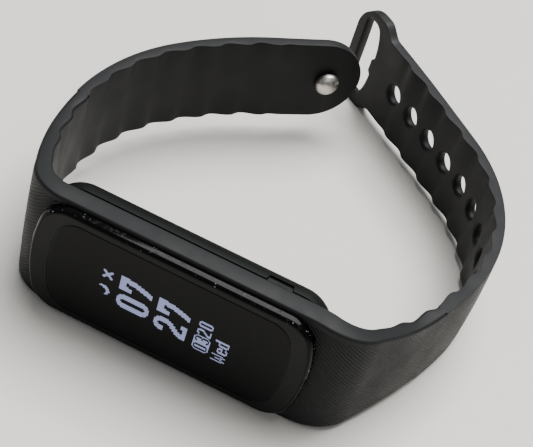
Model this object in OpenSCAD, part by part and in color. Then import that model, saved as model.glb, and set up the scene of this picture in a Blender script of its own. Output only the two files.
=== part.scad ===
// Fitness tracker band lying on its side edge, clasp open.
// +X runs along the display, the display faces -Y, the wrist goes through along Z.
// The origin is on the pod's lower edge, half way along it, on the surface it rests on.

/* [Pod] */
// Width of the pod across the wrist band
pod_w = 19.4; // [18:0.1:22]
// Length of the silicone surround around the pod
surround_len = 41; // [40.4:0.1:43]
// Depth of the silicone surround, display side to wrist side
surround_depth = 3.6; // [3.5:0.1:3.8]
// Length of the front lens
lens_len = 39; // [38:0.1:39.6]
// Width of the front lens
lens_w = 18.2; // [17.6:0.1:18.4]
// How far the ends of the lens bulge past its corners
end_bulge = 2; // [1:0.1:3]
// Thickness of the front lens
lens_t = 1.4; // [1.2:0.1:1.6]
// Length of the hard inner case
case_len = 37; // [36.6:0.1:37.4]
// Width of the hard inner case
case_w = 15.8; // [15.4:0.1:16]
// Length of the back cover
cover_len = 37.6; // [37.2:0.1:38.4]
// Width of the back cover
cover_w = 17.4; // [16.6:0.1:18]

/* [Straps] */
// Width of the straps past their taper
strap_w = 14; // [13:0.1:16]
// Thickness of the straps at their free ends
strap_t = 2.2; // [1.8:0.1:2.4]
// Thickness of the straps at the bend by the pod
bend_t = 2.8; // [2.4:0.1:3]
// Thickness of the straps where they leave the pod
root_t = 3.4; // [2.8:0.1:3.5]
// Distance between adjustment holes
hole_pitch = 5.1; // [4.6:0.1:5.4]
// Number of adjustment holes
hole_count = 9; // [7:1:9]
// Diameter of an adjustment hole
hole_d = 2.7; // [2.4:0.1:3]
// Width of the keeper loop over its two sides
loop_w = 17.4; // [16:0.1:19]
// Length of the keeper loop's window, along the strap
window_len = 4.6; // [4.2:0.1:5]
// Width of the keeper loop's end bar
bar_w = 2.4; // [2:0.1:3]

/* [Clasp stud] */
// Diameter of the stud's domed head
stud_head_d = 3.8; // [3.4:0.1:4.2]
// Diameter of the stud's shank
stud_shank_d = 2; // [1.6:0.1:2.4]
// Height of the stud's head above the strap
stud_head_h = 1.9; // [1.5:0.1:2.4]

/* [Hidden] */
$fn = 96;

zc = pod_w / 2;                           // height of the pod's middle line
left_zc = zc + 1;                         // the stud strap springs up off the surface
right_zc = zc - 1.5;                      // the hole strap hangs, with its loop on the surface
front_y = -4;                             // display side of the lens
lens_back_y = front_y + lens_t;
surround_y0 = front_y + 0.6;              // the lens stands a little proud of its surround
surround_y1 = surround_y0 + surround_depth;
case_y0 = lens_back_y + 0.2;              // behind the adhesive frame
case_y1 = 0;
gasket_t = 0.3;
cover_y0 = case_y1 + gasket_t;
cover_y1 = 4.2;
wall = 0.9;
cover_wall = 1.5;                         // down to the inner case's rim, which the cover closes
board_y1 = -0.15;                         // wrist side of the main board
fit_gap = 0.1;
end_r = (pod_w * pod_w / 4 + end_bulge * end_bulge) / (2 * end_bulge);

// Each strap is a chain of arcs in plan: [length, turn in degrees].
left_start = [-17, -1.6, 180];
left_arcs = [[6, -66], [18, -27], [18, -34], [16, -17], [15, 2]];
right_start = [19.5, -1.6, 0];
right_arcs = [[6.5, 57], [19, 16], [32, 65], [14, 4], [17.5, 0]];
left_len = 73;
right_len = 89;
left_hinge_a = 9;                         // bend by the pod
left_hinge_b = 37;                        // bend half way along
right_hinge_a = 9;
right_hinge_b = 30;
first_hole = 34.8;
loop_start = 78.6;                        // where the keeper loop begins to flare
taper_y0 = -1;                            // the straps narrow between these two depths
taper_y1 = 13;
knuckle_gap = 0.08;
stud_s = left_len - 6.2;

// Place on a strap at distance s: [x, y, heading].
function on_path(arcs, from, s, i = 0) =
    let (len = arcs[i][0], turn = arcs[i][1], last = i == len(arcs) - 1)
    (s > len && !last)
        ? on_path(arcs, arc_point(from, len, turn, len), s - len, i + 1)
        : arc_point(from, len, turn, s);
function arc_point(from, len, turn, s) =
    let (h = from[2], h2 = h + turn * s / len, r = abs(turn) < 0.001 ? 0 : len / (turn * PI / 180))
    abs(turn) < 0.001
        ? [from[0] + s * cos(h), from[1] + s * sin(h), h]
        : [from[0] + r * (sin(h2) - sin(h)), from[1] - r * (cos(h2) - cos(h)), h2];
function left_at(s) = on_path(left_arcs, left_start, s);
function right_at(s) = on_path(right_arcs, right_start, s);
// A point off the path's middle line, to the left of its heading.
function beside(p, off) = [p[0] - off * sin(p[2]), p[1] + off * cos(p[2])];

// Outline of the pod's parts: straight sides and bulging ends, all drawn about the same two centres.
module pod_outline(len, w) {
    r = end_r - (surround_len - len) / 2;
    intersection() {
        square([len, w], center = true);
        translate([len / 2 - r, 0]) circle(r, $fn = 128);
        translate([r - len / 2, 0]) circle(r, $fn = 128);
    }
}
// Stands a plan drawn in X and Z up between two depths.
module between(y0, y1, x = 0, z = zc) {
    translate([x, y1, z]) rotate([90, 0, 0]) linear_extrude(y1 - y0) children();
}
module slab(x0, x1, y0, y1, w) {
    translate([x0, y0, zc - w / 2]) cube([x1 - x0, y1 - y0, w]);
}
// A stretch of strap in plan, from s0 to s1, with its thickness at both ends.
module strap_plan(left, s0, s1, t0 = strap_t, t1 = strap_t) {
    steps = ceil((s1 - s0) / 1.5);
    at = [for (i = [0:steps]) let (s = s0 + (s1 - s0) * i / steps) left ? left_at(s) : right_at(s)];
    t = [for (i = [0:steps]) t0 + (t1 - t0) * i / steps];
    polygon(concat([for (i = [0:steps]) beside(at[i], t[i] / 2)],
        [for (i = [steps:-1:0]) beside(at[i], -t[i] / 2)]));
}
module strap_solid(left, s0, s1, w = strap_w, t0 = strap_t, t1 = strap_t, z = zc) {
    translate([0, 0, z - w / 2]) linear_extrude(w) strap_plan(left, s0, s1, t0, t1);
}
// Round end of one strap stretch, and the hollow it turns in on the next.
module knuckle(p, r, w = pod_w) {
    translate([p[0], p[1], zc - w / 2]) cylinder(r = r, h = w);
}
module hollow(p, t) { knuckle(p, t / 2 + knuckle_gap, pod_w + 2); }
// Keeps what lies within a strap's side view, which narrows from the pod's width to the strap's
// about the middle height z.
module tapered(z) {
    low = z - strap_w / 2;
    high = z + strap_w / 2;
    intersection() {
        translate([-60, 0, 0]) rotate([90, 0, 90]) linear_extrude(120)
            polygon([[-10, 0], [taper_y0, 0], [taper_y1, low], [80, low],
                [80, high], [taper_y1, high], [taper_y0, pod_w], [-10, pod_w]]);
        union() children();
    }
}
// Local frame of a strap: X along it, Y out of its left face, Z up.
module on_strap(p, z = zc) {
    translate([p[0], p[1], z]) rotate([0, 0, p[2]]) children();
}
// Turns a shape about Z so that its axis goes through the strap, head to the left face.
module through_strap(p, z = zc) { on_strap(p, z) rotate([-90, 0, 0]) children(); }

module strap_frame() color("#1f2022") {
    difference() {
        between(surround_y0, surround_y1) pod_outline(surround_len, pod_w);
        between(surround_y0 - 1, lens_back_y) pod_outline(lens_len + 2 * fit_gap, lens_w + 2 * fit_gap);
        between(surround_y0, surround_y1 + 1) pod_outline(case_len + 2 * fit_gap, case_w + 2 * fit_gap);
    }
    difference() {
        union() {
            tapered(left_zc) {
                strap_solid(true, 0, left_hinge_a, pod_w, root_t, bend_t);
                knuckle(left_at(left_hinge_a), bend_t / 2);
            }
            tapered(right_zc) {
                strap_solid(false, 0, right_hinge_a, pod_w, root_t, bend_t);
                knuckle(right_at(right_hinge_a), bend_t / 2);
            }
        }
        between(surround_y0 - 1, surround_y1 + 1) pod_outline(surround_len - 1, pod_w);
    }
}

module front_lens() color("#0d0e10") {
    between(front_y + 0.4, lens_back_y) pod_outline(lens_len, lens_w);
    between(front_y, front_y + 0.4) pod_outline(lens_len - 0.8, lens_w - 0.8);
}

module lens_adhesive() color("#303236") between(lens_back_y, case_y0) difference() {
    pod_outline(case_len, case_w);
    pod_outline(case_len - 2 * wall, case_w - 2 * wall);
}

module inner_case() color("#26282b") {
    difference() {
        between(case_y0, case_y1) pod_outline(case_len, case_w);
        between(case_y0 - 1, case_y1 + 1) pod_outline(case_len - 2 * wall, case_w - 2 * wall);
    }
    between(-0.95, -0.75) difference() {
        pod_outline(case_len - wall, case_w - wall);
        pod_outline(33, 12);
    }
}

module display_panel() color("#16181d") slab(-13.9, 16.1, -2.35, -1, 11.5);

module display_flex() color("#8a5a24") {
    slab(-15.9, -13.9, -1.5, -1.4, 8);
    slab(-16, -15.9, -1.5, -0.8, 8);
    slab(-16, -13.5, -0.85, -0.75, 8);
}

module touch_electrode() color("#b98a4a") slab(16.2, 17, -2.38, -2.28, 7);

module main_board() color("#14502e") slab(-16.5, 16.5, -0.75, -0.15, 12.4);

module radio_chip() color("#202124") translate([12.6, board_y1, zc + 1]) cube([3.5, 0.6, 3.5]);

module motion_sensor() color("#2c2d30") translate([12.8, board_y1, zc - 3.5]) cube([2, 0.7, 2]);

module antenna() color("#e8e2d2") translate([15.3, board_y1, zc - 5.6]) cube([1, 0.5, 3.2]);

module battery() color("#b9bcc2") slab(-16, 3, 0.1, 2.4, 11);

module battery_foam() color("#3c3d40") slab(-14, -5.5, 2.4, 3.4, 8);

module vibration_motor() color("#c3c4c6") between(board_y1, 2.1, 8) circle(d = 7);

module pulse_board() color("#1d5b38") slab(-5, 5, 2.5, 2.9, 7);

module pulse_leds() color("#d9f0d2") for (x = [-3.2, 3.2]) slab(x - 0.8, x + 0.8, 2.9, 3.4, 1.4);

module photodiode() color("#27303a") slab(-1.2, 1.2, 2.9, 3.4, 2.4);

module sensor_window() color("#1a1012") between(3.5, cover_y1 + 0.05) circle(d = 8.4);

module back_cover() color("#242628") difference() {
    union() {
        between(cover_y0, cover_y1 - 0.6) pod_outline(cover_len, cover_w);
        between(cover_y1 - 0.6, cover_y1) pod_outline(cover_len - 1.2, cover_w - 1.2);
    }
    between(cover_y0 - 1, cover_y1 - 0.8) pod_outline(cover_len - 2 * cover_wall, cover_w - 2 * cover_wall);
    between(cover_y0, cover_y1 + 1) circle(d = 8.5);
    for (x = [11, 14]) between(cover_y0, cover_y1 + 1, x) circle(d = 1.9);
    translate([10, cover_y0 - 1, zc + cover_w / 2 - 0.6]) cube([3.4, 1.9, 2]);
}

module case_gasket() color("#3a2f2f") between(case_y1, cover_y0) difference() {
    pod_outline(case_len - 0.2, case_w - 0.2);
    pod_outline(case_len - 1.6, case_w - 1.6);
}

module charging_contacts() color("#d4a94e") for (x = [11, 14]) between(3.3, cover_y1 + 0.1, x) circle(d = 1.8);

module strap_left_root() color("#1f2022") difference() {
    tapered(left_zc) {
        strap_solid(true, left_hinge_a, left_hinge_b, pod_w, bend_t, strap_t);
        knuckle(left_at(left_hinge_b), strap_t / 2);
    }
    hollow(left_at(left_hinge_a), bend_t);
}

module strap_left_tip() color("#1f2022") difference() {
    union() {
        strap_solid(true, left_hinge_b, left_len - strap_w / 2, z = left_zc);
        through_strap(left_at(left_len - strap_w / 2), left_zc) cylinder(d = strap_w, h = strap_t, center = true);
    }
    hollow(left_at(left_hinge_b), strap_t);
    through_strap(left_at(stud_s), left_zc) cylinder(d = stud_shank_d + 0.1, h = 8, center = true);
    through_strap(left_at(stud_s), left_zc) translate([0, 0, strap_t / 2 - 0.4]) cylinder(d = 5.1, h = 2);
}

// Mushroom head on the wrist side, with its shank through the strap.
module clasp_stud() color("#c9c5bd") through_strap(left_at(stud_s), left_zc) mirror([0, 0, 1])
    rotate_extrude() {
        translate([0, -strap_t / 2 + 0.4]) square([stud_shank_d / 2, strap_t - 0.4]);
        translate([0, strap_t / 2]) square([stud_shank_d / 2, 0.5]);
        translate([0, strap_t / 2]) intersection() {
            translate([0, stud_head_h - stud_head_d / 2]) circle(d = stud_head_d);
            square([stud_head_d, stud_head_d]);
        }
    }

module stud_base() color("#b8b5ae") through_strap(left_at(stud_s), left_zc)
    translate([0, 0, strap_t / 2 - 0.4]) cylinder(d = 5, h = 0.4);

module strap_right_root() color("#1f2022") difference() {
    tapered(right_zc) {
        strap_solid(false, right_hinge_a, right_hinge_b, pod_w, bend_t, strap_t);
        knuckle(right_at(right_hinge_b), strap_t / 2);
    }
    hollow(right_at(right_hinge_a), bend_t);
}

module strap_right_tip() color("#1f2022") difference() {
    strap_solid(false, right_hinge_b, loop_start, z = right_zc);
    hollow(right_at(right_hinge_b), strap_t);
    for (i = [0:hole_count - 1])
        through_strap(right_at(first_hole + i * hole_pitch), right_zc) cylinder(d = hole_d, h = 8, center = true);
}

// Keeper loop at the strap's end: flared sides, an open window and a thin end bar.
module keeper_loop() color("#1f2022") {
    len = right_len - loop_start;
    r = 2.6;
    low = right_zc - loop_w / 2 - strap_w / 2;
    on_strap(right_at(loop_start), loop_w / 2) rotate([90, 0, 0]) linear_extrude(strap_t, center = true)
        difference() {
            union() {
                polygon([[0, low], [3.4, -loop_w / 2], [3.4, loop_w / 2], [0, low + strap_w]]);
                translate([3.4, -loop_w / 2]) square([len - 3.4 - r, loop_w]);
                translate([3.4, -loop_w / 2 + r]) square([len - 3.4, loop_w - 2 * r]);
                for (side = [-1, 1]) translate([len - r, side * (loop_w / 2 - r)]) circle(r);
            }
            translate([len - bar_w - window_len, -strap_w / 2 - 0.4]) square([window_len, strap_w + 0.8]);
        }
}

strap_frame();
front_lens();
lens_adhesive();
inner_case();
display_panel();
display_flex();
touch_electrode();
main_board();
radio_chip();
motion_sensor();
antenna();
battery();
battery_foam();
vibration_motor();
pulse_board();
pulse_leds();
photodiode();
sensor_window();
back_cover();
case_gasket();
charging_contacts();
strap_left_root();
strap_left_tip();
clasp_stud();
stud_base();
strap_right_root();
strap_right_tip();
keeper_loop();
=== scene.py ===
import math
import bpy
import bmesh
from mathutils import Matrix, Vector


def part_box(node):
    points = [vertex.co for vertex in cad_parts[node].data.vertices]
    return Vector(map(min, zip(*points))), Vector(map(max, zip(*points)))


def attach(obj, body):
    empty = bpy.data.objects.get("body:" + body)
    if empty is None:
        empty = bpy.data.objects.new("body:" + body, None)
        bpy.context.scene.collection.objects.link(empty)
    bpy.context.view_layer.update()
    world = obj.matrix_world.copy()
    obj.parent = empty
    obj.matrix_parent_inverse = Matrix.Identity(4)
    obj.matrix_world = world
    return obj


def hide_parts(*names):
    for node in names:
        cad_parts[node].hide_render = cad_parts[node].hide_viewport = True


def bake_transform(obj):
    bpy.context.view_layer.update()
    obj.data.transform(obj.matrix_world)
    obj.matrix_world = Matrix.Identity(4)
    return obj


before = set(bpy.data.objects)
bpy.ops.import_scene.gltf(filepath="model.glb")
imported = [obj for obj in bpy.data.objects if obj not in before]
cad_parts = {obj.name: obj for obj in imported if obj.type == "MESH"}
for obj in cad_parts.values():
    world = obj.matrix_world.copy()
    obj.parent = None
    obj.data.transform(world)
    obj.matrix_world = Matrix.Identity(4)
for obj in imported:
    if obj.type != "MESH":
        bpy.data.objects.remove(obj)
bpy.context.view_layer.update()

MM = 0.001

# ---------------------------------------------------------------------------
# Silicone moulding: surround, both straps and the keeper loop are one piece of black silicone,
# pressed flat in a mould. It is shaped here as a flat strip and bent along its arcs in plan.
# Each stretch ends inside a rigid part of the strap, so that only its bend crosses a joint.
# ---------------------------------------------------------------------------
POD_W = (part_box("strap_frame")[1].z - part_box("strap_frame")[0].z) / MM
MID_Z = POD_W / 2
LEFT_RISE = 1.0                      # the stud strap springs up off the table
RIGHT_DROP, LOOP_DROP = -1.5, -1.0   # the hole strap hangs until its loop lies on the table
STRAP_W = (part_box("strap_left_tip")[1].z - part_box("strap_left_tip")[0].z) / MM
LOOP_W = (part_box("keeper_loop")[1].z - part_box("keeper_loop")[0].z) / MM
STRIP_Y = -1.6                       # middle of the moulding's depth beside the pod
LEFT_START, RIGHT_START = -17.0, 19.5         # where the two straps start to turn, along x
LEFT_ARCS = [(6, -66), (18, -27), (18, -34), (16, -17), (15, 2)]      # length in mm, turn in degrees
RIGHT_ARCS = [(6.5, 57), (19, 16), (32, 65), (14, 4), (17.5, 0)]
LEFT_LEN, RIGHT_LEN = 73.0, 89.0              # distances from here on are past those starts
HOLE_D, HOLE_PITCH, FIRST_HOLE, HOLES = 3.2, 5.1, 34.8, 9
STUD_AT = LEFT_LEN - 5.6
LEFT_BENDS, RIGHT_BENDS = (9, 37), (9, 30)    # where the four joints lie along the straps
THICKNESS = [(-1, 3.6), (0, 3.6), (7, 2.3), (30, 1.7), (999, 1.7)]    # (distance, thickness)
NARROWS_FROM, NARROWS_OVER = (1, -3), 20      # where the left and right straps narrow, over what length
LOOP_FROM, LOOP_FLARE, LOOP_CORNER = 79.8, 3.2, 4.6     # the strap flares into the loop; its end's corners
WAVE_H = 0.25                        # half the height of the waves on the wrist side
WAVES_FROM, WAVES_TO = 7, (57, 73)   # the stretch they cover, on the left and right straps
WAVE_SHIFT, WAVE_RISE = 0.05, 0.66   # shares of a wave: past each hole, and spent rising
EDGE_R, CROWN = 0.45, 0.16           # rounding of the long edges; fall of the outer face towards them
FRONT_DROP = 0.6                     # how far the rim beside the lens lies below the strap's outer face


def along_arcs(arcs, x, y, heading, s):
    """Place and heading at a distance along a chain of arcs."""
    for length, turn in arcs:
        step = length if arcs[-1] != (length, turn) and s > length else s
        angle = math.radians(heading)
        swing = math.radians(turn * step / length)
        if abs(turn) < 0.001:
            x, y = x + step * math.cos(angle), y + step * math.sin(angle)
        else:
            r = length / math.radians(turn)
            x += r * (math.sin(angle + swing) - math.sin(angle))
            y -= r * (math.cos(angle + swing) - math.cos(angle))
        heading += math.degrees(swing)
        if step == s:
            break
        s -= step
    return x, y, heading


def strip_place(s):
    """Middle line of the strip: s runs from the left strap's end, through the pod, to the loop."""
    if s < LEFT_START:
        x, y, heading = along_arcs(LEFT_ARCS, LEFT_START, STRIP_Y, 180, LEFT_START - s)
        return x, y, heading - 180
    if s > RIGHT_START:
        return along_arcs(RIGHT_ARCS, RIGHT_START, STRIP_Y, 0, s - RIGHT_START)
    return s, STRIP_Y, 0


def smooth(t):
    """An even step from 0 to 1."""
    t = min(max(t, 0), 1)
    return t * t * (3 - 2 * t)


def past_pod(s):
    """Distance past the start of the nearer strap; negative beside the pod."""
    return max(LEFT_START - s, s - RIGHT_START)


def strip_width(s):
    run = past_pod(s)
    width = POD_W + (STRAP_W - POD_W) * smooth((run - NARROWS_FROM[s > 0]) / NARROWS_OVER)
    if s < 0 and run > LEFT_LEN - STRAP_W / 2:
        over = min(run - (LEFT_LEN - STRAP_W / 2), STRAP_W / 2 - 0.03)
        width = 2 * math.sqrt((STRAP_W / 2) ** 2 - over ** 2)
    if s > 0 and run > LOOP_FROM:
        width = STRAP_W + (LOOP_W - STRAP_W) * smooth((run - LOOP_FROM) / LOOP_FLARE)
        over = min(max(run - (RIGHT_LEN - LOOP_CORNER), 0), LOOP_CORNER - 0.02)
        width -= 2 * (LOOP_CORNER - math.sqrt(LOOP_CORNER ** 2 - over ** 2))
    return width


def strip_thickness(s):
    run = past_pod(s)
    for (a, ta), (b, tb) in zip(THICKNESS, THICKNESS[1:]):
        if run <= b:
            return ta + (tb - ta) * max(run - a, 0) / (b - a)


def strip_wave(s):
    """Height of the waves: a long rise and a short fall, one wave to each hole."""
    run = past_pod(s)
    fade = smooth((run - WAVES_FROM) / 7) * (1 - smooth((run - WAVES_TO[s > 0]) / 5))
    phase = ((run - FIRST_HOLE) / HOLE_PITCH + WAVE_SHIFT) % 1
    if phase < WAVE_RISE:
        shape = math.sin(phase / WAVE_RISE * math.pi / 2) ** 2
    else:
        shape = math.cos((phase - WAVE_RISE) / (1 - WAVE_RISE) * math.pi / 2) ** 2
    return WAVE_H * fade * (2 * shape - 1)


def strip_lift(s):
    """How far the strip's middle runs above the pod's."""
    run = past_pod(s)
    if s < 0:
        return LEFT_RISE * smooth((run - NARROWS_FROM[0]) / NARROWS_OVER)
    return RIGHT_DROP * smooth(run / 18) + (LOOP_DROP - RIGHT_DROP) * smooth((run - 60) / 20)


def cut_away(bm, cutters):
    """Takes the cutters out of the flat strip, with an exact boolean on a throwaway object."""
    whole = bpy.data.objects.new("whole", bpy.data.meshes.new("whole"))
    bm.to_mesh(whole.data)
    tools = bpy.data.objects.new("tools", bpy.data.meshes.new("tools"))
    cutters.to_mesh(tools.data)
    for o in (whole, tools):
        bpy.context.scene.collection.objects.link(o)
    cut = whole.modifiers.new("cut", "BOOLEAN")
    cut.operation, cut.solver, cut.object = "DIFFERENCE", "EXACT", tools
    result = bmesh.new()
    result.from_mesh(whole.evaluated_get(bpy.context.evaluated_depsgraph_get()).to_mesh())
    for o in (whole, tools):
        bpy.data.objects.remove(o)
    return result


def loft(rings):
    """A closed solid through a row of rings with the same number of points."""
    bm = bmesh.new()
    verts = [bm.verts.new(p) for p in rings[0]]
    bm.faces.new(verts)
    edges = list(bm.edges)
    for ring in rings[1:]:
        grown = bmesh.ops.extrude_edge_only(bm, edges=edges)["geom"]
        edges = [e for e in grown if isinstance(e, bmesh.types.BMEdge)]
        new = [v for v in grown if isinstance(v, bmesh.types.BMVert)]
        match = {}
        for v in new:
            old = min(verts, key=lambda o: (o.co - v.co).length_squared)
            match[verts.index(old)] = v
        verts = [match[i] for i in range(len(verts))]
        for v, p in zip(verts, ring):
            v.co = p
    bm.faces.new(verts)
    bmesh.ops.recalc_face_normals(bm, faces=bm.faces)
    return bm


def add_to(bm, other):
    mesh = bpy.data.meshes.new("part")
    other.to_mesh(mesh)
    bm.from_mesh(mesh)
    bpy.data.meshes.remove(mesh)


def round_outline(length, width, corner, bulge=0.0, steps=8):
    """Rectangle with round corners and ends that bulge, as (along, across) points anticlockwise."""
    points = []
    for sx, sz, start in ((1, -1, -90), (1, 1, 0), (-1, 1, 90), (-1, -1, 180)):
        for i in range(steps + 1):
            a = math.radians(start + 90 * i / steps)
            points.append((sx * (length / 2 - bulge - corner) + corner * math.cos(a),
                           sz * (width / 2 - corner) + corner * math.sin(a)))
        if start in (-90, 90):
            for i in range(1, 2 * steps):
                z = (width / 2 - corner) * (i / steps - 1) * -sz
                points.append((sx * (length / 2 - bulge), z))
    bulged = []
    for x, z in points:
        out = bulge * (1 - min(abs(z) / (width / 2), 1) ** 2)
        bulged.append((x + math.copysign(out, x), z))
    return bulged


def flared_cutter(outline, s, half, flare):
    """Cutter through the strip at s, whose rims open out as a moulded edge does."""
    levels = [(-3, flare)]
    for i in range(5):
        a = math.pi / 2 * i / 4
        levels.append((-half + flare * math.sin(a), flare * (1 - math.sin(a))))
    levels += [(-n, f) for n, f in reversed(levels)]
    return loft([[Vector((s + x + x * grow / math.hypot(x, z), n, z + z * grow / math.hypot(x, z)))
                  for x, z in outline] for n, grow in levels])


def strip_stretch(name, s0, s1, cutters=(), round_start=0.0, round_end=0.0):
    """One stretch of the moulding between s0 and s1: a flat solid, cut, then bent along the arcs.
    Rows bunch up over a round end, where the outline turns fastest."""
    rows_per_wave = 12
    steps = max(2, round((s1 - s0) / (HOLE_PITCH / rows_per_wave)))
    bm = bmesh.new()
    bmesh.ops.create_grid(bm, x_segments=steps, y_segments=24, size=0.5)
    for v in bm.verts:
        s = s0 + (s1 - s0) * (v.co.x + 0.5)
        if s - s0 < round_start:
            s = s0 + round_start * (1 - math.cos((s - s0) / round_start * math.pi / 2))
        if s1 - s < round_end:
            s = s1 - round_end * (1 - math.cos((s1 - s) / round_end * math.pi / 2))
        v.co = (s, -0.5, v.co.y * strip_width(s))
    grown = bmesh.ops.extrude_face_region(bm, geom=list(bm.faces))["geom"]
    for v in grown:
        if isinstance(v, bmesh.types.BMVert):
            v.co.y = 0.5
    bmesh.ops.recalc_face_normals(bm, faces=bm.faces)
    for v in bm.verts:
        v.co.y *= strip_thickness(v.co.x)
    rims = []
    for e in bm.edges:
        flat = [abs(f.normal.y) > 0.7 for f in e.link_faces]
        at_start = all(abs(v.co.x - s0) < 1e-4 for v in e.verts) and not round_start
        at_end = all(abs(v.co.x - s1) < 1e-4 for v in e.verts) and not round_end
        if flat[0] != flat[1] and not at_start and not at_end:
            rims.append(e)
    bmesh.ops.bevel(bm, geom=rims, offset=EDGE_R, offset_type="OFFSET", segments=4, profile=0.5,
                    affect="EDGES", material=-1, clamp_overlap=True)
    if cutters:
        tools = bmesh.new()
        for c in cutters:
            add_to(tools, c)
        bm = cut_away(bm, tools)
    bmesh.ops.triangulate(bm, faces=[f for f in bm.faces if len(f.verts) > 4])
    flat = [(v.co.x, v.co.y, v.co.z) for v in bm.verts]
    for v in bm.verts:
        s, n, z = v.co
        half = strip_thickness(s) / 2
        share = min(max((half - n) / (2 * half), 0), 1)
        edge = (2 * z / strip_width(s)) ** 2
        sunk = CROWN * edge + FRONT_DROP * (1 - smooth((past_pod(s) + 1) / 7))
        out = n - share * strip_wave(s) * (0.25 + 0.75 * edge) - (1 - share) * sunk
        x, y, heading = strip_place(s)
        h = math.radians(heading)
        v.co = Vector((x + out * math.sin(h), y - out * math.cos(h), z + MID_Z + strip_lift(s))) * MM
    mesh = bpy.data.meshes.new(name)
    bm.to_mesh(mesh)
    piece = bpy.data.objects.new(name, mesh)
    bpy.context.scene.collection.objects.link(piece)
    outer = [smooth((2 * n / strip_thickness(s) - 0.7) / 0.25) for s, n, _ in flat]
    for label, values in (("along", [s for s, _, _ in flat]), ("across", [z for _, _, z in flat]),
                          ("ribbed", outer), ("margin", [strip_width(s) / 2 - abs(z) for s, _, z in flat])):
        layer = mesh.attributes.new(label, "FLOAT", "POINT")
        layer.data.foreach_set("value", values)
    mesh.shade_smooth()
    mesh.set_sharp_from_angle(angle=math.radians(55))
    return piece


def linear(hexa):
    """An sRGB hex colour as linear RGBA."""
    parts = [int(hexa[i:i + 2], 16) / 255 for i in (1, 3, 5)]
    return (*[c / 12.92 if c <= 0.04045 else ((c + 0.055) / 1.055) ** 2.4 for c in parts], 1)


def node(tree, kind, settings=(), links=()):
    """Adds a node. Settings are attribute or input values; links join sockets to its inputs."""
    made = tree.nodes.new(kind)
    for key, value in dict(settings).items():
        if isinstance(key, str) and hasattr(made, key) and key not in made.inputs:
            setattr(made, key, value)
        else:
            made.inputs[key].default_value = value
    for key, socket in dict(links).items():
        tree.links.new(socket, made.inputs[key])
    return made


def finish_of(name, hexa, roughness, **inputs):
    """A material with its Principled shader's uniform values set on the shader itself."""
    made = bpy.data.materials.new(name)
    made.use_nodes = True
    shader = made.node_tree.nodes["Principled BSDF"]
    shader.inputs["Base Color"].default_value = linear(hexa)
    shader.inputs["Roughness"].default_value = roughness
    for key, value in inputs.items():
        shader.inputs[key.replace("_", " ")].default_value = value
    return made, made.node_tree, shader


# Moulded silicone, peroxide cured in a spark-eroded mould: near black, dull, with a fine grain, and
# a little dust and skin oil that turns it greyer in patches. The outer face carries fine slanting
# ribs, which fall away from the pod on both straps; a smooth margin runs round them.
RIB_PITCH = 0.6                      # mm along the strap; the ribs lean 45 degrees, 0.42 mm apart
silicone, tree, shader = finish_of("moulded_silicone", "#0c0d0f", 0.56, Specular_IOR_Level=0.25)
place = node(tree, "ShaderNodeTexCoord")
grain = node(tree, "ShaderNodeTexNoise", {"Scale": 9000.0, "Detail": 3.0, "Roughness": 0.6},
             {"Vector": place.outputs["Object"]})
dust = node(tree, "ShaderNodeTexNoise", {"Scale": 160.0, "Detail": 5.0, "Roughness": 0.62},
            {"Vector": place.outputs["Object"]})
tint = node(tree, "ShaderNodeValToRGB", {}, {"Fac": dust.outputs["Fac"]})
tint.color_ramp.elements[0].position, tint.color_ramp.elements[0].color = 0.35, linear("#08090a")
tint.color_ramp.elements[1].position, tint.color_ramp.elements[1].color = 0.75, linear("#101113")
dull = node(tree, "ShaderNodeMapRange", {"From Min": 0.3, "From Max": 0.7, "To Min": 0.5, "To Max": 0.66},
            {"Value": dust.outputs["Fac"]})
along = node(tree, "ShaderNodeAttribute", {"attribute_name": "along"})
across = node(tree, "ShaderNodeAttribute", {"attribute_name": "across"})
ribbed = node(tree, "ShaderNodeAttribute", {"attribute_name": "ribbed"})
margin = node(tree, "ShaderNodeAttribute", {"attribute_name": "margin"})
outward = node(tree, "ShaderNodeMath", {"operation": "ABSOLUTE"}, {0: along.outputs["Fac"]})
phase = node(tree, "ShaderNodeMath", {"operation": "ADD"},
             {0: outward.outputs[0], 1: across.outputs["Fac"]})
turn = node(tree, "ShaderNodeMath", {"operation": "MULTIPLY", 1: 2 * math.pi / RIB_PITCH},
            {0: phase.outputs[0]})
ribs = node(tree, "ShaderNodeMath", {"operation": "SINE"}, {0: turn.outputs[0]})
inside = node(tree, "ShaderNodeMapRange", {"From Min": 0.75, "From Max": 1.05},
              {"Value": margin.outputs["Fac"]})
where = node(tree, "ShaderNodeMath", {"operation": "MULTIPLY"},
             {0: inside.outputs[0], 1: ribbed.outputs["Fac"]})
relief = node(tree, "ShaderNodeMath", {"operation": "MULTIPLY"},
              {0: ribs.outputs[0], 1: where.outputs[0]})
fine = node(tree, "ShaderNodeBump", {"Strength": 0.25, "Distance": 0.00002},
            {"Height": grain.outputs["Fac"]})
bump = node(tree, "ShaderNodeBump", {"Strength": 1.0, "Distance": 0.00007},
            {"Height": relief.outputs[0], "Normal": fine.outputs[0]})
tree.links.new(tint.outputs[0], shader.inputs["Base Color"])
tree.links.new(dull.outputs[0], shader.inputs["Roughness"])
tree.links.new(bump.outputs[0], shader.inputs["Normal"])


def ring_of(diameter, points=30):
    return [(diameter / 2 * math.cos(math.tau * i / points), diameter / 2 * math.sin(math.tau * i / points))
            for i in range(points)]


def slab_cutter(outline, low, high, s=0.0):
    """Straight cutter at s along the strip, between two depths from its middle."""
    return loft([[Vector((s + x, n, z)) for x, z in outline] for n in (low, high)])


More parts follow.
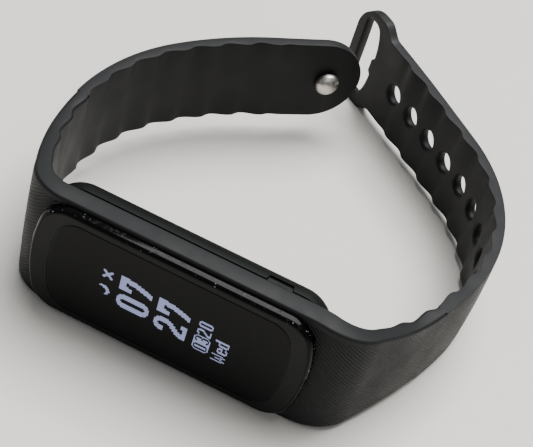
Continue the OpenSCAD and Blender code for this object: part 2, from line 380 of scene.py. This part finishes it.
LENS_L, LENS_W, LENS_CORNER, BULGE = 39.0, 18.2, 3.0, 1.6
CASE_OPENING = (37.2, 16.0)
lens_seat = slab_cutter(round_outline(LENS_L + 0.16, LENS_W + 0.16, LENS_CORNER, BULGE), 1.55, 4.0)
case_hole = slab_cutter(round_outline(*CASE_OPENING, 2.0, 1.2), -4.0, 4.0)
SEAM_A = 4.5                         # seams between stretches: beside the pod on both sides,
SEAM_B, SEAM_C = 23.0, 19.5          # half way along the left strap, and along the right one
surround = strip_stretch("silicone_surround", LEFT_START - SEAM_A, RIGHT_START + SEAM_A,
                         (lens_seat, case_hole))
left_bend = strip_stretch("silicone_left_bend", LEFT_START - SEAM_B, LEFT_START - SEAM_A)
stud_seat = slab_cutter(ring_of(5.1), 0.7, 4.0, LEFT_START - STUD_AT)
stud_bore = slab_cutter(ring_of(2.1), -4.0, 4.0, LEFT_START - STUD_AT)
left_end = strip_stretch("silicone_left_end", LEFT_START - LEFT_LEN, LEFT_START - SEAM_B,
                         (stud_seat, stud_bore), round_start=STRAP_W / 2)
right_bend = strip_stretch("silicone_right_bend", RIGHT_START + SEAM_A, RIGHT_START + SEAM_C)
holes = [flared_cutter(ring_of(HOLE_D), RIGHT_START + FIRST_HOLE + HOLE_PITCH * i, 0.85, 0.25)
         for i in range(HOLES)]
WINDOW_L, BAR_W, TAB_L, TAB_W, BOW = 4.4, 2.0, 0.6, 3.0, 1.5
window_s = RIGHT_START + RIGHT_LEN - BAR_W - WINDOW_L / 2


def window_ring(grow, n):
    """The loop's window: straight along the bar, bowed on its strap side, where a small tab stands.
    Both sides turn in over the last 13% of the width, so that the two ends are round."""
    half_l, half_w = WINDOW_L / 2 + grow, LOOP_W / 2 - 1.7 + grow
    bar_side, strap_side = [], []
    for i in range(65):
        z = half_w * math.sin(math.pi * (i / 64 - 0.5))
        share = abs(z) / half_w
        end = 0.9 * (1 - math.sqrt(max(1 - (max(share - 0.87, 0) / 0.13) ** 2, 0)))
        tab = TAB_L * smooth((TAB_W / 2 - abs(z)) / 0.3)
        bar_side.append((half_l - end, z))
        strap_side.append((-half_l + BOW * share ** 3 + end + tab, z))
    return [Vector((window_s + x, n, z)) for x, z in bar_side + strap_side[::-1]]


rims = [(-3, 0.25), (-0.85, 0.25), (-0.75, 0.08), (-0.6, 0)]
window = loft([window_ring(grow, n) for n, grow in rims + [(-n, grow) for n, grow in reversed(rims)]])
right_end = strip_stretch("silicone_right_end", RIGHT_START + SEAM_C, RIGHT_START + RIGHT_LEN,
                          (*holes, window), round_end=LOOP_CORNER)
for piece in (surround, left_bend, left_end, right_bend, right_end):
    piece.data.materials.append(silicone)


def on_strip(s):
    """A point on the strip's middle line, in metres."""
    x, y, _ = strip_place(s)
    return Vector((x, y, MID_Z)) * MM


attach(surround, "surround")
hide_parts("strap_frame")
for piece, parts, sign, start, at, nodes in (
        (left_bend, ("surround", "left_strap"), -1, LEFT_START, LEFT_BENDS[0], ("strap_left_root",)),
        (left_end, ("left_strap", "left_end"), -1, LEFT_START, LEFT_BENDS[1], ("strap_left_tip",)),
        (right_bend, ("surround", "right_strap"), 1, RIGHT_START, RIGHT_BENDS[0], ("strap_right_root",)),
        (right_end, ("right_strap", "right_end"), 1, RIGHT_START, RIGHT_BENDS[1],
         ("strap_right_tip", "keeper_loop"))):
    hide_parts(*nodes)
    reach = 4.0 if at == LEFT_BENDS[0] else 6.0
    near, far = (on_strip(start + sign * (at + step)) for step in (-reach, reach))
    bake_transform(piece)

# ---------------------------------------------------------------------------
# Front lens: one sheet of hard-coated acrylic, black ink printed behind it, glued to the inner case
# by an adhesive frame. It stands proud of the silicone, with a rounded edge worn to an uneven roughness,
# and bright specks painted on that edge as glints.
# ---------------------------------------------------------------------------
LENS_BACK, LENS_FRONT = -2.6, -4.0
EDGE_IN, EDGE_DOWN = 0.55, 0.7       # rounding of the front edge, in from the side and down from the front
WINDOW = (33.4, 15.4, 2.3, 1.3)      # length, width, corner and bulge of the clear window
GROOVE_W, GROOVE_DEEP = 0.09, 0.05   # the fine line round it, half its width and its depth


def outline_at(shape, inset, y):
    length, width, corner, bulge = shape
    return [Vector((x, y, z + MID_Z)) * MM for x, z in
            round_outline(length - 2 * inset, width - 2 * inset, max(corner - inset, 0.2), bulge)]


def new_piece(name, bm, *materials, sharp=40):
    """Links a finished mesh, smooth but for edges sharper than the angle."""
    mesh = bpy.data.meshes.new(name)
    bm.to_mesh(mesh)
    bm.free()
    mesh.shade_smooth()
    mesh.set_sharp_from_angle(angle=math.radians(sharp))
    for m in materials:
        mesh.materials.append(m)
    piece = bpy.data.objects.new(name, mesh)
    bpy.context.scene.collection.objects.link(piece)
    return piece


lens_shape = (LENS_L, LENS_W, LENS_CORNER, BULGE)
rings = [outline_at(lens_shape, 0.12, LENS_BACK), outline_at(lens_shape, 0, LENS_BACK - 0.1)]
rings += [outline_at(lens_shape, EDGE_IN * (1 - math.cos(a)), LENS_FRONT + EDGE_DOWN * (1 - math.sin(a)))
          for a in (0, 0.4, 0.8, 1.2, math.pi / 2)]
border_from = len(rings) - 1
rings.append(outline_at(lens_shape, EDGE_IN + 0.05, LENS_FRONT))
rings += [outline_at(WINDOW, inset, LENS_FRONT + deep) for inset, deep in
          ((-GROOVE_W - 0.05, 0), (-GROOVE_W, 0), (0, GROOVE_DEEP), (GROOVE_W, 0), (GROOVE_W + 0.05, 0))]
groove_from = border_from + 3
bm = loft(rings)
bm.faces.index_update()
for f in bm.faces:                   # the faces follow the rings, from the back to the window
    band = (f.index - 1) * (len(rings) - 1) // (len(bm.faces) - 2)
    f.material_index = 2 if band < border_from else 0 if band < groove_from else 1


def speck(tree, scale, low, high):
    """Sparse marks: noise clipped to its peaks. The scale is in marks per metre, roughly."""
    coords = node(tree, "ShaderNodeTexCoord")
    noise = node(tree, "ShaderNodeTexNoise", {"Scale": scale, "Detail": 4.0, "Roughness": 0.7},
                 {"Vector": coords.outputs["Object"]})
    return node(tree, "ShaderNodeMapRange", {"From Min": low, "From Max": high},
                {"Value": noise.outputs["Fac"]}).outputs[0]


def tinted(tree, shader, mask, clean, marked):
    """Base colour that goes from clean to marked where the mask is high."""
    ramp = node(tree, "ShaderNodeValToRGB", {}, {"Fac": mask})
    ramp.color_ramp.elements[0].color = linear(clean)
    ramp.color_ramp.elements[1].color = linear(marked)
    tree.links.new(ramp.outputs[0], shader.inputs["Base Color"])


def roughened(tree, shader, mask, low, high):
    """Roughness that goes from low to high where the mask is high."""
    span = node(tree, "ShaderNodeMapRange", {"To Min": low, "To Max": high}, {"Value": mask})
    tree.links.new(span.outputs[0], shader.inputs["Roughness"])


# Ink seen through the hard coat: satin round the border, with hazy finger marks.
bezel, tree, shader = finish_of("printed_border", "#08090a", 0.3, Specular_IOR_Level=0.14)
roughened(tree, shader, speck(tree, 180.0, 0.35, 0.7), 0.24, 0.42)
tinted(tree, shader, speck(tree, 2600.0, 0.71, 0.76), "#08090a", "#5c5f63")
# Clear window over the panel: polished, near black, with fine dust.
window_ink, tree, shader = finish_of("clear_window", "#030304", 0.12, Specular_IOR_Level=0.1)
roughened(tree, shader, speck(tree, 150.0, 0.35, 0.75), 0.1, 0.26)
tinted(tree, shader, speck(tree, 2300.0, 0.72, 0.76), "#030304", "#484b50")
# Rounded edge: worn to an uneven roughness, with short bright specks painted on as glints, a painted
# highlight.
painted_glint_edge, tree, shader = finish_of("edge_with_painted_glints", "#060607", 0.12, Specular_IOR_Level=0.08)
roughened(tree, shader, speck(tree, 1500.0, 0.5, 0.7), 0.08, 0.4)
# painted glints: the bright specks on the dark edge stand in for highlights
tinted(tree, shader, speck(tree, 1700.0, 0.66, 0.73), "#060607", "#b4b6b9")
lens = new_piece("front_lens_sheet", bm, bezel, window_ink, painted_glint_edge, sharp=14)
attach(lens, "surround")
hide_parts("front_lens")

# ---------------------------------------------------------------------------
# Lit dots of the panel: a 0.91 inch, 128 by 32 organic display, its dots 0.175 mm apart. They glow
# a pale lavender. The clock is read with the band turned, so its rows run across the pod.
# ---------------------------------------------------------------------------
DOT, LIT_SIDE, LIT_DEEP = 0.175, 0.166, 0.012     # pitch of the dots; side and depth of a lit one
FIGURES = {
    "0": "1x....######.... 1x..##########.. 1x.############. 1x.#####..#####. 18x#####....#####"
         " 1x.#####..#####. 1x.############. 1x..##########.. 1x....######....",
    "7": "5x############## 2x#####....##### 3x####....#####. 3x........#####. 3x.......#####.."
         " 3x......#####... 3x.....#####.... 2x....#####..... 2x...#####......",
    "2": "1x....######.... 1x..##########.. 1x.############. 1x.#####..#####. 4x#####....#####"
         " 3x.........##### 2x........#####. 2x......######.. 2x....######.... 2x..######......"
         " 2x.#####........ 2x#####.....#### 3x##############",
}
LETTERS = {
    "0": "1x.####. 9x##..## 1x.####.",
    "3": "1x.####. 1x##..## 3x....## 1x..###. 3x....## 1x##..## 1x.####.",
    "2": "1x.####. 1x##..## 3x....## 1x...##. 1x..##.. 1x.##... 2x##.... 1x######",
    "W": "3x#.....# 4x#..#..# 2x#.#.#.# 2x.#...#.",
    "e": "3x...... 1x.####. 2x##..## 1x###### 2x##.... 1x##..## 1x.####.",
    "d": "3x....## 1x.##### 6x##..## 1x.#####",
    "cross": "1x##....## 1x###..### 1x.######. 2x..####.. 1x.######. 1x###..### 1x##....##",
    "moon": "1x.......#. 2x.......## 2x......### 1x#....#### 1x########. 1x.######.. 1x...##....",
    "badge": "1x..############.. 1x.##############. 9x################ 1x.##############."
             " 1x..############..",
}


def dots_of(glyph, top, left):
    """Dots of one glyph as (row, column). top is its upper edge along X, left its left edge along Z.
    A glyph is drawn row by row, each row after the number of times it repeats."""
    rows = []
    for part in glyph.split():
        count, line = part.split("x")
        rows += [line] * int(count)
    return {(top + i, left + j) for i, line in enumerate(rows)
            for j, mark in enumerate(line) if mark == "#"}


lit = dots_of(LETTERS["badge"], 25, 37)
lit -= dots_of(LETTERS["0"], 26, 38) | dots_of(LETTERS["3"], 26, 46)
for glyphs, name, top, left in (
        (FIGURES, "0", -38, 42), (FIGURES, "7", -38, 60), (FIGURES, "2", -7, 39), (FIGURES, "7", -7, 57),
        (LETTERS, "2", 26, 54), (LETTERS, "0", 26, 62), (LETTERS, "W", 41, 35), (LETTERS, "e", 41, 44),
        (LETTERS, "d", 41, 51), (LETTERS, "cross", -52, 64), (LETTERS, "moon", -53, 47)):
    lit |= dots_of(glyphs[name], top, left)
bm = bmesh.new()
for row, column in sorted(lit):
    at = Vector(((row + 0.5) * DOT, LENS_FRONT - 0.004, (column + 0.5) * DOT)) * MM
    size = Matrix.Diagonal((LIT_SIDE * MM, LIT_DEEP * MM, LIT_SIDE * MM, 1))
    bmesh.ops.create_cube(bm, size=1, matrix=Matrix.Translation(at) @ size)
# Organic display dots: they give their own light, evenly, and reflect next to nothing.
glow, tree, shader = finish_of("lit_dots", "#20222c", 0.3, Emission_Color=linear("#a4acd9"),
                               Emission_Strength=0.8)
dots = new_piece("display_dots", bm, glow)
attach(dots, "surround")

# ---------------------------------------------------------------------------
# Back cover: the moulded plastic half of the case that lies on the wrist, welded over the inner case
# with a gasket between. It has a soft outer edge, a pry notch, and bores for window and contacts.
# ---------------------------------------------------------------------------
COVER = (39.4, 18.6, 3.6, 1.1)       # length, width, corner and bulge
COVER_FRONT, COVER_BACK = 0.3, 4.05
END_ROUND, SIDE_ROUND, DEEP = 2.4, 3.3, 3.35      # how far the back edge is rounded, each way
WALL, WINDOW_BORE, PAD_BORE, PADS_X = 1.5, 8.5, 1.9, (11, 14)
NOTCH = ((9.5, -0.5), (13.9, -0.5), (13.3, 1.5), (10.1, 1.5))      # (x, y) of its slanted outline
NOTCH_DEEP = 0.4
levels = [(COVER_FRONT, 0.8, 0.8), (COVER_FRONT + 0.15, 0.3, 0.3), (COVER_FRONT + 0.3, 0.0, 0.0)]
for a in (0, 0.2, 0.4, 0.6, 0.8, 1.0, 1.2, 1.4, math.pi / 2):
    curl = 1 - math.cos(a)
    levels.append((COVER_BACK - DEEP * (1 - math.sin(a)), END_ROUND * curl, SIDE_ROUND * curl))
bm = loft([[Vector((x, y, z + MID_Z)) for x, z in
            round_outline(COVER[0] - 2 * ends, COVER[1] - 2 * sides, COVER[2] - sides * 0.6, COVER[3])]
           for y, ends, sides in levels])
tools = bmesh.new()
add_to(tools, loft([[p / MM for p in outline_at(COVER, WALL, y)] for y in (-1, COVER_BACK - 0.8)]))
for x, diameter, points in [(0, WINDOW_BORE, 48)] + [(x, PAD_BORE, 30) for x in PADS_X]:
    add_to(tools, loft([[Vector((x + a, y, z + MID_Z)) for a, z in ring_of(diameter, points)]
                        for y in (2, 6)]))
side_z = MID_Z + COVER[1] / 2
add_to(tools, loft([[Vector((x, y, z)) for x, y in NOTCH] for z in (side_z - NOTCH_DEEP, side_z + 1)]))
bm = cut_away(bm, tools)
bmesh.ops.scale(bm, vec=(MM, MM, MM), verts=bm.verts)
# Moulded case plastic with a fine spark-eroded grain: dull and darker than the silicone beside it.
case_plastic, tree, shader = finish_of("moulded_case", "#050606", 0.5, Specular_IOR_Level=0.14)
roughened(tree, shader, speck(tree, 260.0, 0.3, 0.7), 0.46, 0.6)
tinted(tree, shader, speck(tree, 3200.0, 0.66, 0.74), "#050606", "#202225")
cover = new_piece("wrist_cover", bm, case_plastic)
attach(cover, "surround")
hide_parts("back_cover")

# ---------------------------------------------------------------------------
# Clasp stud: a turned and polished steel mushroom, pressed through the left strap and riveted to a
# round plate let into its outer face. Its head snaps into one of the nine holes.
# ---------------------------------------------------------------------------
SHANK_R, HEAD_R, HEAD_FROM, DOME = 1.0, 1.88, 1.56, 1.1
STUD = [(0, -0.7), (SHANK_R, -0.7), (SHANK_R, 1.05), (1.06, 1.15), (1.4, 1.2), (1.74, 1.26), (1.9, 1.36)]
STUD += [(HEAD_R * math.cos(a), HEAD_FROM + DOME * math.sin(a))
         for a in (0, 0.25, 0.5, 0.75, 1.0, 1.25, 1.42)]
STUD.append((0, HEAD_FROM + DOME))   # each point is a radius and a height above the strap's middle
bm = bmesh.new()
points = [bm.verts.new((r, 0, h)) for r, h in STUD]
profile = [bm.edges.new(pair) for pair in zip(points, points[1:])]
bmesh.ops.spin(bm, geom=points + profile, cent=(0, 0, 0), axis=(0, 0, 1), angle=math.tau, steps=48,
               use_merge=True)
bmesh.ops.remove_doubles(bm, verts=bm.verts, dist=0.001)
x, y, heading = strip_place(LEFT_START - STUD_AT)
across = Matrix.Rotation(math.radians(heading), 4, "Z") @ Matrix.Rotation(math.radians(-90), 4, "X")
bm.transform(Matrix.Scale(MM, 4) @ Matrix.Translation((x, y, MID_Z + LEFT_RISE)) @ across)
bmesh.ops.recalc_face_normals(bm, faces=bm.faces)
# Polished steel dulled by wear: a soft highlight and no sharp reflections.
stud_steel, tree, shader = finish_of("polished_steel", "#c8c4bd", 0.16, Metallic=1.0)
roughened(tree, shader, speck(tree, 1800.0, 0.4, 0.65), 0.3, 0.46)
stud = new_piece("stud_mushroom", bm, stud_steel)
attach(stud, "left_end")
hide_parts("clasp_stud")

# ---------------------------------------------------------------------------
# Pieces kept as they come: the plate behind the stud, the window and pads on the wrist side, the
# gasket, and what the case holds. Each takes the finish of its real material: name, nodes, its clean
# and its marked colour, roughness, and the size of its marks as a scale per metre.
# ---------------------------------------------------------------------------
for label, names, clean, marked, rough, scale, extra in (
        ("stamped_steel", ("stud_base",), "#b6b3ac", "#8f8c86", 0.3, 1200.0, {"Metallic": 1.0}),
        ("tinted_sensor_window", ("sensor_window",), "#140a0c", "#2b181b", 0.1, 400.0,
         {"Coat_Weight": 0.5}),
        ("gold_flash", ("charging_contacts",), "#d2aa52", "#a8843a", 0.24, 1500.0, {"Metallic": 1.0}),
        ("gasket_rubber", ("case_gasket",), "#0e0e10", "#1a1a1c", 0.7, 900.0, {}),
        ("acrylic_tape", ("lens_adhesive",), "#2a2b2d", "#3b3c3e", 0.55, 900.0, {}),
        ("glass_filled_plastic", ("inner_case",), "#1f2124", "#303236", 0.5, 500.0, {}),
        ("panel_glass", ("display_panel",), "#0b0d12", "#151922", 0.06, 300.0, {"Coat_Weight": 0.5}),
        ("polyimide_film", ("display_flex", "touch_electrode"), "#8d5a22", "#6d4216", 0.35, 700.0, {}),
        ("solder_mask", ("main_board", "pulse_board"), "#12472a", "#0c3520", 0.4, 700.0, {}),
        ("moulded_epoxy", ("radio_chip", "motion_sensor", "photodiode"), "#191a1c", "#2a2b2e", 0.55,
         1500.0, {}),
        ("antenna_ceramic", ("antenna",), "#e0dbca", "#cbc5b1", 0.5, 900.0, {}),
        ("laminated_foil", ("battery",), "#b8babd", "#96999c", 0.3, 350.0, {"Metallic": 0.9}),
        ("open_foam", ("battery_foam",), "#303033", "#1c1c1f", 0.9, 3500.0, {}),
        ("satin_steel", ("vibration_motor",), "#bdbdc0", "#98989b", 0.3, 900.0, {"Metallic": 1.0}),
        ("clear_resin", ("pulse_leds",), "#bfe3b4", "#9ccf90", 0.15, 900.0, {})):
    finish, tree, shader = finish_of(label, clean, rough, **extra)
    marks = speck(tree, scale, 0.4, 0.65)
    tinted(tree, shader, marks, clean, marked)
    roughened(tree, shader, marks, rough, min(rough * 1.4, 1))
    for name in names:
        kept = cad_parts[name].data.materials
        kept.clear()
        kept.append(finish)


# ---------------------------------------------------------------------------
# Camera, table and light: a pale laminate table in soft overhead office light.
# ---------------------------------------------------------------------------
cam_data = bpy.data.cameras.new("camera")
camera = bpy.data.objects.new("camera", cam_data)
bpy.context.scene.collection.objects.link(camera)
bpy.context.scene.camera = camera
EYE = Vector((0.0262, -0.108, 0.13335))
yaw, lift, roll = math.radians(-9.684), math.radians(43.885), math.radians(18.916)
ahead = Vector((math.sin(yaw) * math.cos(lift), math.cos(yaw) * math.cos(lift), -math.sin(lift)))
side = Vector((math.cos(yaw), -math.sin(yaw), 0))
up = side.cross(ahead)
right = side * math.cos(roll) + up * math.sin(roll)
top = -side * math.sin(roll) + up * math.cos(roll)
camera.matrix_world = Matrix([(*column, end) for column, end in
                              ((right, 0), (top, 0), (-ahead, 0), (EYE, 1))]).transposed()
cam_data.sensor_width = 36
cam_data.lens = 87.872
cam_data.clip_start = 0.01

floor_mesh = bpy.data.meshes.new("table_top")
bm = bmesh.new()
bmesh.ops.create_grid(bm, x_segments=2, y_segments=2, size=2.0)
bm.to_mesh(floor_mesh)
floor = bpy.data.objects.new("table_top", floor_mesh)
bpy.context.scene.collection.objects.link(floor)
paint, tree, shader = finish_of("pale_laminate", "#d6d3cc", 0.5)
floor_mesh.materials.append(paint)

world = bpy.data.worlds.new("studio")
bpy.context.scene.world = world
world.use_nodes = True
world.node_tree.nodes["Background"].inputs["Color"].default_value = linear("#e8ecf1")
world.node_tree.nodes["Background"].inputs["Strength"].default_value = 0.3
for name, spot, size, power in (("key", (0.1, 0.4, 0.95), 0.8, 26.0), ("fill", (0.5, -0.5, 0.6), 0.6, 1.2)):
    lamp = bpy.data.lights.new(name, "AREA")
    lamp.shape, lamp.size, lamp.energy = "SQUARE", size, power
    light = bpy.data.objects.new(name, lamp)
    bpy.context.scene.collection.objects.link(light)
    light.location = spot
    light.rotation_mode = "QUATERNION"
    light.rotation_quaternion = (-Vector(spot) + Vector((0, 0.03, 0))).to_track_quat("-Z", "Y")
